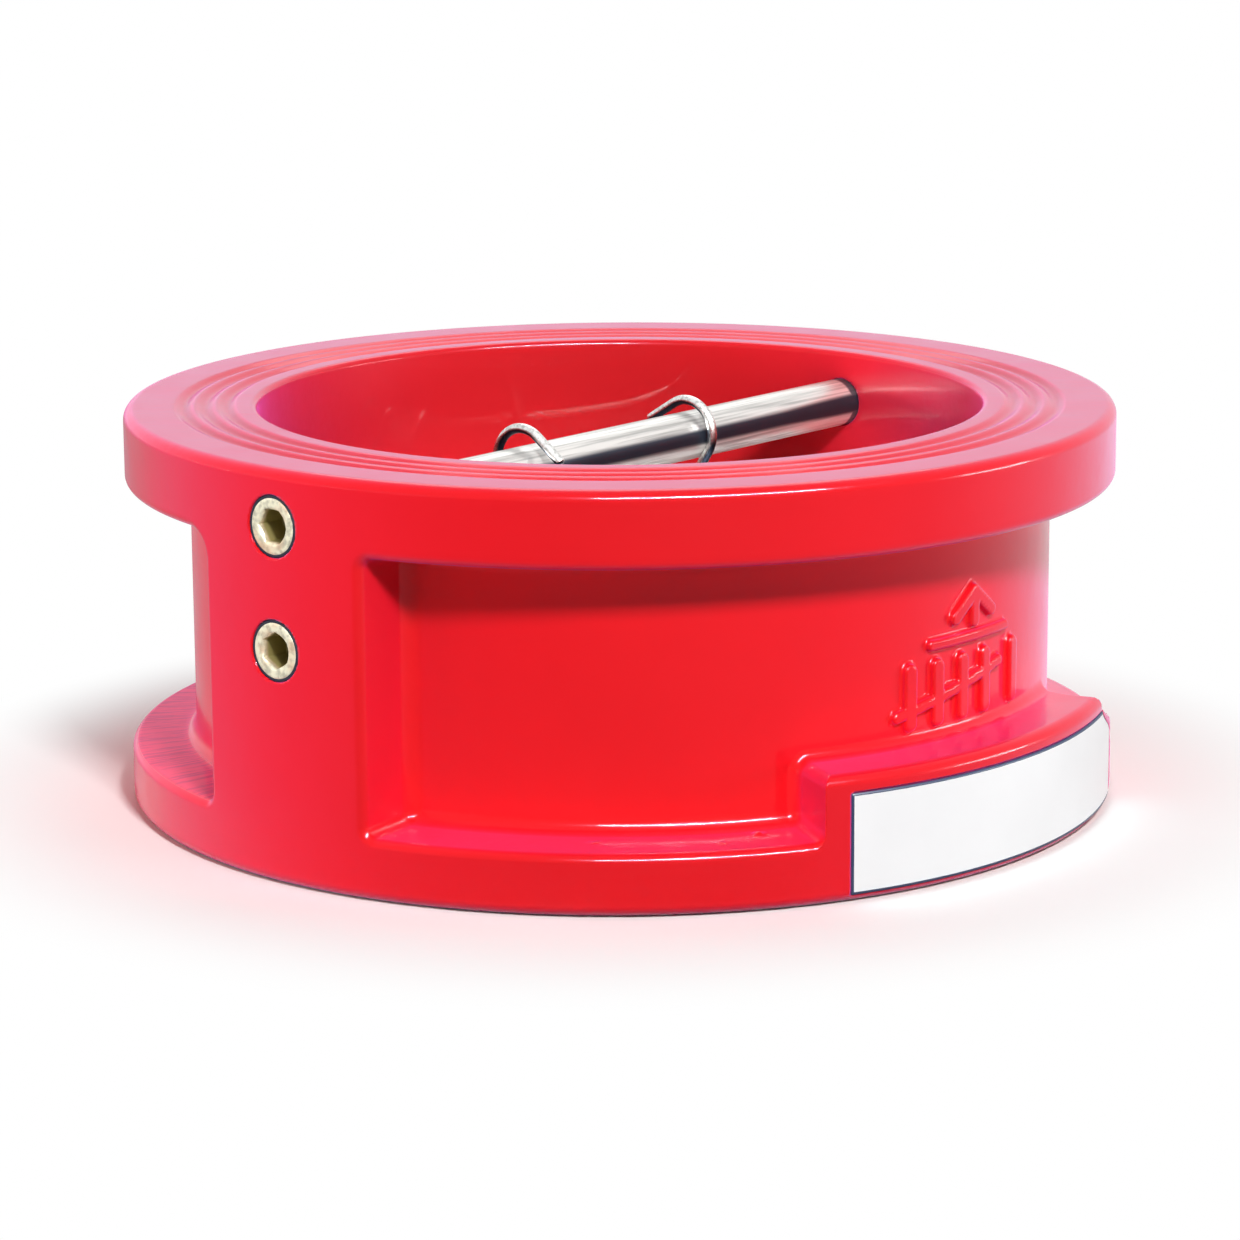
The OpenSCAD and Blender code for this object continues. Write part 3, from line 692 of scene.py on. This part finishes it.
def axis_value(nodes, links, kind, axis):
    """One component of the object-space place ("Object") or normal ("Normal")."""
    coord = nodes.new("ShaderNodeTexCoord")
    split = nodes.new("ShaderNodeSeparateXYZ")
    links.new(coord.outputs[kind], split.inputs[0])
    return split.outputs[axis]


def arithmetic(nodes, links, kind, a, b=None):
    """Math node of two values, or of one where b is left out. A plain number goes on its own socket."""
    node = nodes.new("ShaderNodeMath")
    node.operation = kind
    for socket, value in zip(node.inputs, (a, b)):
        if isinstance(value, (int, float)):
            socket.default_value = value
        elif value is not None:
            links.new(value, socket)
    return node.outputs[0]


def from_axis(nodes, links):
    """Distance from the valve's axis, in metres."""
    coord = nodes.new("ShaderNodeTexCoord")
    flat = nodes.new("ShaderNodeVectorMath")
    flat.operation = "MULTIPLY"
    flat.inputs[1].default_value = (1, 1, 0)
    links.new(coord.outputs["Object"], flat.inputs[0])
    length = nodes.new("ShaderNodeVectorMath")
    length.operation = "LENGTH"
    links.new(flat.outputs[0], length.inputs[0])
    return length.outputs["Value"]


def brush_marks_and_painted_shade(nodes, links):
    """Where the upper side of the inlet rim is rough, behind the bosses, and the radial streaks there. There
    the
    red is painted: darker in the streaks as shade, and pinker in place of its reflection.
    """
    x, y, z = (axis_value(nodes, links, "Object", axis) for axis in "XYZ")
    area = remap(nodes, links, axis_value(nodes, links, "Normal", "Z"), 0.80, 0.97, 0, 1, smooth=True)
    for value, none, whole in ((z, LOW_RIM_Z + 2, LOW_RIM_Z + 1), (y, 0, 12)):
        side = remap(nodes, links, value, none * MM, whole * MM, 0, 1, smooth=True)
        area = arithmetic(nodes, links, "MULTIPLY", area, side)
    polar = nodes.new("ShaderNodeCombineXYZ")
    links.new(arithmetic(nodes, links, "ARCTAN2", y, x), polar.inputs[0])
    links.new(from_axis(nodes, links), polar.inputs[1])
    streaks = noise(nodes, links, 70, 4, (1, 1.2, 1), 0.7, polar.outputs[0])
    return area, remap(nodes, links, streaks, 0.40, 0.56, 0, 1, smooth=True)


def red_coating():
    """Epoxy coat: deep red, glossy, with slow waves and a fine orange peel. It is rougher inside the bore,
    and its red there is painted darker as shade.
    """
    mat, nodes, links, shader = new_material("red_coating", (0.84, 0.006, 0.011), 0.25)
    shader.inputs["Specular IOR Level"].default_value = 0.55
    shader.inputs["Specular Tint"].default_value = (0.15, 0.11, 0.17, 1)
    shader.inputs["Coat Weight"].default_value = 0.18
    shader.inputs["Coat Roughness"].default_value = 0.03
    shader.inputs["Sheen Weight"].default_value = 0.34
    shader.inputs["Sheen Roughness"].default_value = 0.50
    shader.inputs["Sheen Tint"].default_value = (0.95, 0.23, 1.0, 1)
    coat = mix_color(nodes, links, noise(nodes, links, 38, 3), (0.78, 0.005, 0.005), (0.87, 0.007, 0.008))
    # Painted shade: the red is darker inside the bore. The coat there is also rougher.
    wall = (OUTLET_R - 0.5) * MM, (OUTLET_R + 0.6) * MM
    bore_shade_and_dull = remap(nodes, links, from_axis(nodes, links), *wall, 1, 0, smooth=True)
    coat = mix_color(nodes, links, bore_shade_and_dull, coat, (0.52, 0.014, 0.013))
    # Painted shade and reflection: the inlet rim's top behind the bosses gets darker red streaks as shade, on
    # a pinker red that stands in for its reflection, over a rougher coat.
    rough, streaks = brush_marks_and_painted_shade(nodes, links)
    marked_shade = mix_color(nodes, links, streaks, (0.60, 0.050, 0.034), (0.88, 0.075, 0.055))
    links.new(mix_color(nodes, links, rough, coat, marked_shade), shader.inputs["Base Color"])
    gloss = remap(nodes, links, noise(nodes, links, 110, 3), 0, 1, 0.10, 0.30)
    dull = arithmetic(nodes, links, "MULTIPLY", arithmetic(nodes, links, "MAXIMUM", rough, bore_shade_and_dull), 0.60)
    links.new(arithmetic(nodes, links, "MAXIMUM", gloss, dull), shader.inputs["Roughness"])
    waves = noise(nodes, links, 90, 2)
    peel = noise(nodes, links, 700, 2)
    bump(nodes, links, shader, (waves, 0.0006, 0.25), (peel, 0.00008, 0.30))
    return mat


def metal(name, color, low, high, stretch, scale=1800, grain=0.3, bare=1.0, tint=None):
    """Metal with streaks and a roughness from low to high. bare is how metallic it is, and tint gives the
    place
    and colour of a darker layer on it: painted shade on the pins and the wire, a stain on the plugs."""
    mat, nodes, links, shader = new_material(name, color, (low + high) / 2, bare)
    streaks = noise(nodes, links, scale, 4, stretch)
    clouds = noise(nodes, links, 70, 3)
    links.new(remap(nodes, links, clouds, 0, 1, low, high), shader.inputs["Roughness"])
    darker = tuple(0.58 * c for c in color)
    tone = mix_color(nodes, links, remap(nodes, links, streaks, 0.32, 0.62, 0, 1, smooth=True), darker, color)
    if tint:
        # The tint layer is painted shade on the pins and the wire, and a stain on the plugs.
        amount, layer_color = tint(nodes, links)
        tone = mix_color(nodes, links, amount, tone, layer_color)
    links.new(tone, shader.inputs["Base Color"])
    bump(nodes, links, shader, (streaks, 0.00004, grain))
    return mat


def painted_shaft_shade(start, full, end, gone, wall=0.0, top=0.0):
    """Painted shade along a shaft: dark blue on its lower side, by the height of its normal. wall raises it
    beside the bore, and top adds a painted dark line of that strength along the upper back and a painted
    shadow where the shaft enters the wall."""
    def tint(nodes, links):
        # Painted shade: the lower side of the shaft is dark blue, by the height of its normal, more so beside
        # the bore.
        facing = axis_value(nodes, links, "Normal", "Z")
        along = arithmetic(nodes, links, "ABSOLUTE", axis_value(nodes, links, "Object", "X"))
        lift = remap(nodes, links, along, 0.036, 0.058, 0, wall, smooth=True)
        above = arithmetic(nodes, links, "SUBTRACT", facing, lift)
        below = arithmetic(nodes, links, "ADD", facing, lift)
        painted_shade = arithmetic(nodes, links, "MULTIPLY",
                          remap(nodes, links, above, start, full, 0, 1, smooth=True),
                          remap(nodes, links, below, gone, end, 0, 1, smooth=True))
        if top:
            # Painted shade: a dark line along the upper back, and a painted shadow where the shaft enters the
            # wall.
            back = axis_value(nodes, links, "Normal", "Y")
            line = arithmetic(nodes, links, "MULTIPLY",
                              remap(nodes, links, back, 0.10, 0.22, 0, top, smooth=True),
                              remap(nodes, links, back, 0.55, 0.40, 0, 1, smooth=True))
            wall_x = (OUTLET_R - 1.9) * MM, (OUTLET_R - 1.2) * MM
            wall_shadow = remap(nodes, links, along, *wall_x, 0, 0.9, smooth=True)
            painted_shade = arithmetic(nodes, links, "MAXIMUM", painted_shade, line)
            painted_shade = arithmetic(nodes, links, "MAXIMUM", painted_shade, wall_shadow)
        return painted_shade, (0.032, 0.042, 0.064)
    return tint


def socket_stain(nodes, links):
    """Dark passivation inside a plug's socket and along its thread, by the depth below its face."""
    along = arithmetic(nodes, links, "ABSOLUTE", axis_value(nodes, links, "Object", "X"))
    face = PLUG_FACE_X * MM
    deep = remap(nodes, links, along, face - 0.0002, face - 0.0014, 0, 1, smooth=True)
    rust = remap(nodes, links, noise(nodes, links, 260, 2), 0.50, 0.72, 0, 0.55, smooth=True)
    layer_color = mix_color(nodes, links, deep, (0.80, 0.42, 0.22), (0.32, 0.27, 0.10))
    return arithmetic(nodes, links, "MAXIMUM", deep, rust), layer_color


def plain(name, color, roughness, scale, depth, strength):
    """Rubber, plastic, ink and the plugs' painted gap shade, with a fine grain of that scale, depth and
    strength.
    """
    mat, nodes, links, shader = new_material(name, color, roughness)
    grain = noise(nodes, links, scale, 3)
    tone = mix_color(nodes, links, grain, tuple(0.9 * c for c in color), color)
    links.new(tone, shader.inputs["Base Color"])
    gloss = remap(nodes, links, grain, 0, 1, roughness - 0.08, roughness + 0.08)
    links.new(gloss, shader.inputs["Roughness"])
    bump(nodes, links, shader, (grain, depth, strength))
    return mat


def set_material(obj, mat):
    obj.data.materials.clear()
    obj.data.materials.append(mat)


def soften(obj, width, segments=2):
    """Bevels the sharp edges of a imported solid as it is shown."""
    mod = obj.modifiers.new("edge", "BEVEL")
    mod.width = width * MM
    mod.segments = segments
    mod.limit_method = "ANGLE"
    mod.angle_limit = math.radians(40)
    mod.harden_normals = True


red = red_coating()
# The pins get painted shade: dark blue on their lower side, a dark line along the upper back and a shadow at
# the wall.
pin_steel = metal("pin_steel", (0.80, 0.79, 0.76), 0.26, 0.40, (0.03, 1, 1), 1700, grain=0.5, bare=0.6,
                  tint=painted_shaft_shade(0.50, 0.28, -0.12, -0.36, wall=0.10, top=0.9))
# The spring wire gets painted shade: dark blue on its lower side, by the height of its normal.
wire_steel = metal("wire_steel", (0.78, 0.78, 0.76), 0.20, 0.34, (1, 1, 1),
                   tint=painted_shaft_shade(0.05, -0.25, -1.2, -1.3))
cast_steel = metal("cast_steel", (0.52, 0.52, 0.53), 0.32, 0.48, (1, 1, 1), 600, 0.6)
zinc = metal("yellow_zinc", (0.95, 0.90, 0.68), 0.25, 0.42, (1, 1, 1), 900, 0.4, bare=0.25, tint=socket_stain)
# Painted shade: the near-black ring in the gap round each plug.
gap_shade = plain("gap_shade_ring", (0.004, 0.008, 0.024), 0.55, 1500, 0.00005, 0.4)
rubber = plain("seat_rubber", (0.025, 0.025, 0.027), 0.55, 900, 0.00008, 0.5)
polymer = plain("bearing_plastic", (0.78, 0.77, 0.73), 0.38, 500, 0.00005, 0.3)
label = plain("label_white", (0.95, 0.95, 0.96), 0.35, 60, 0.00003, 0.1)
ink = plain("label_edge", (0.012, 0.030, 0.10), 0.40, 300, 0.00003, 0.2)

set_material(make_casting(), red)
set_material(make_bar(), red)
for plate in make_plates():
    set_material(plate, cast_steel)
for pin in make_pins():
    set_material(pin, pin_steel)
for spring in make_springs():
    set_material(spring, wire_steel)
for plug in make_plugs():
    set_material(plug, zinc)
for ring in make_gap_shades():
    set_material(ring, gap_shade)
sheet, inked = make_label()
set_material(sheet, label)
sheet.data.materials.append(ink)
for face, dark in zip(sheet.data.polygons, inked):
    face.material_index = int(dark)

set_material(nodes_by_name["seat_ring"], rubber)
for name in ("spring_divider", "spring_spacer_left", "spring_spacer_right", "body_bearing_left",
             "body_bearing_right", "lug_bearing_left", "lug_bearing_right"):
    set_material(nodes_by_name[name], polymer)
    soften(nodes_by_name[name], 0.15)
for name in ("hinge_gasket_left", "hinge_gasket_right", "stop_gasket_left", "stop_gasket_right"):
    set_material(nodes_by_name[name], rubber)


# Stage, light and camera

# Camera fitted to the rims in the photograph: place in metres, lens in millimetres, angles in degrees
CAMERA_PLACE, LENS = (-0.5242, -0.4475, 0.1830), 125.24
AZIMUTH, PITCH, ROLL = -49.5, 12.76, -0.343
# Height that the lamps point at, in metres
AIM_Z = 0.04
FLOOR_HALF, FLOOR_Z = 6.0, -0.0002
SEEN = ("Is Camera Ray", "Is Glossy Ray", "Is Transmission Ray")


def light_path(nodes, links, *kinds):
    """1 for rays of these kinds, 0 for all others."""
    path = nodes.new("ShaderNodeLightPath")
    either = path.outputs[kinds[0]]
    for kind in kinds[1:]:
        either = arithmetic(nodes, links, "MAXIMUM", either, path.outputs[kind])
    return either


def make_floor():
    """Pale floor that takes the shadow. Away from the object it is plain white to the camera. In reflections
    it is white on the right and grey on the left."""
    mesh = bpy.data.meshes.new("floor")
    corners = [(FLOOR_HALF * i, FLOOR_HALF * j, FLOOR_Z) for i, j in ((-1, -1), (1, -1), (1, 1), (-1, 1))]
    mesh.from_pydata(corners, [], [(0, 1, 2, 3)])
    floor = bpy.data.objects.new("floor", mesh)
    bpy.context.scene.collection.objects.link(floor)
    mat, nodes, links, shader = new_material("pale_floor", (0.93, 0.93, 0.93), 0.9)
    shader.inputs["Specular IOR Level"].default_value = 0.0
    seen = light_path(nodes, links, *SEEN)
    shade = mix_color(nodes, links, seen, (0.20, 0.20, 0.20), (0.95, 0.95, 0.95))
    links.new(shade, shader.inputs["Base Color"])
    coord = nodes.new("ShaderNodeTexCoord")
    away = nodes.new("ShaderNodeVectorMath")
    away.operation = "LENGTH"
    links.new(coord.outputs["Object"], away.inputs[0])
    side = nodes.new("ShaderNodeVectorMath")
    side.operation = "DOT_PRODUCT"
    side.inputs[1].default_value = (math.cos(math.radians(AZIMUTH)), math.sin(math.radians(AZIMUTH)), 0)
    links.new(coord.outputs["Object"], side.inputs[0])
    lit = remap(nodes, links, side.outputs["Value"], -0.20, 0.15, 0.5, 1, smooth=True)
    glow = arithmetic(nodes, links, "MAXIMUM", lit, light_path(nodes, links, "Is Camera Ray"))
    white = nodes.new("ShaderNodeEmission")
    links.new(glow, white.inputs["Strength"])
    fade = remap(nodes, links, away.outputs["Value"], 0.08, 0.125, 0, 1, smooth=True)
    mix = nodes.new("ShaderNodeMixShader")
    links.new(arithmetic(nodes, links, "MULTIPLY", fade, seen), mix.inputs[0])
    links.new(shader.outputs[0], mix.inputs[1])
    links.new(white.outputs[0], mix.inputs[2])
    links.new(mix.outputs[0], nodes["Material Output"].inputs["Surface"])
    set_material(floor, mat)


def area_light(name, place, target, size, power, diffuse=True, gloss=True):
    data = bpy.data.lights.new(name, "AREA")
    data.shape = "RECTANGLE"
    data.size, data.size_y = size
    data.energy = power
    lamp = bpy.data.objects.new(name, data)
    lamp.location = place
    lamp.rotation_euler = (Vector(target) - Vector(place)).to_track_quat("-Z", "Y").to_euler()
    lamp.visible_diffuse, lamp.visible_glossy = diffuse, gloss
    bpy.context.scene.collection.objects.link(lamp)


def around(turn, lift, reach):
    """Place at turn degrees to the right of the photo's camera and lift degrees up, seen from the object."""
    heading, lift = math.radians(AZIMUTH + turn), math.radians(lift)
    level = math.cos(lift) * reach
    return Vector((math.sin(heading) * level, -math.cos(heading) * level, AIM_Z + math.sin(lift) * reach))


def make_world():
    world = bpy.data.worlds.new("studio")
    bpy.context.scene.world = world
    world.use_nodes = True
    nodes, links = world.node_tree.nodes, world.node_tree.links
    ground = nodes["Background"]
    ground.inputs["Color"].default_value = (1, 1, 1, 1)
    ground.inputs["Strength"].default_value = 0.06
    seen = nodes.new("ShaderNodeBackground")
    seen.inputs["Color"].default_value = (1, 1, 1, 1)
    seen.inputs["Strength"].default_value = 1.0
    mix = nodes.new("ShaderNodeMixShader")
    links.new(light_path(nodes, links, *SEEN), mix.inputs[0])
    links.new(ground.outputs[0], mix.inputs[1])
    links.new(seen.outputs[0], mix.inputs[2])
    links.new(mix.outputs[0], nodes["World Output"].inputs["Surface"])


def make_camera():
    data = bpy.data.cameras.new("camera")
    data.lens, data.sensor_width, data.clip_start = LENS, 36, 0.01
    camera = bpy.data.objects.new("camera", data)
    turn = Matrix.Rotation(math.radians(AZIMUTH), 4, "Z")
    tilt = Matrix.Rotation(math.pi / 2 - math.radians(PITCH), 4, "X")
    roll = Matrix.Rotation(math.radians(ROLL), 4, "Z")
    camera.matrix_world = Matrix.Translation(CAMERA_PLACE) @ (turn @ tilt @ roll)
    bpy.context.scene.collection.objects.link(camera)
    bpy.context.scene.camera = camera


make_floor()
make_world()
make_camera()
# Lamps: turn and lift in degrees, reach and size in metres, watts, and whether they light surfaces and shine
for name, turn, lift, reach, size, power, diffuse, gloss in (
        ("key", 17, 38, 1.3, (0.18, 0.18), 14.8, True, True),
        ("left", -100, 4, 1.2, (0.5, 0.16), 7.4, True, False),
        ("left_middle", -75, 4, 1.2, (0.5, 0.16), 3.6, True, False),
        ("left_front", -50, 4, 1.2, (0.5, 0.16), 1.8, True, False),
        ("right", 90, 4, 1.2, (0.5, 0.16), 5.8, True, True),
        ("back", 180, 50, 1.2, (0.7, 0.7), 3.0, True, True),
        ("sparkle", 22, 38, 1.29, (1.1, 0.12), 90, False, True)):
    area_light(name, around(turn, lift, reach), (0, 0, AIM_Z), size, power, diffuse, gloss)

view = bpy.context.scene.view_settings
view.view_transform = "Standard"
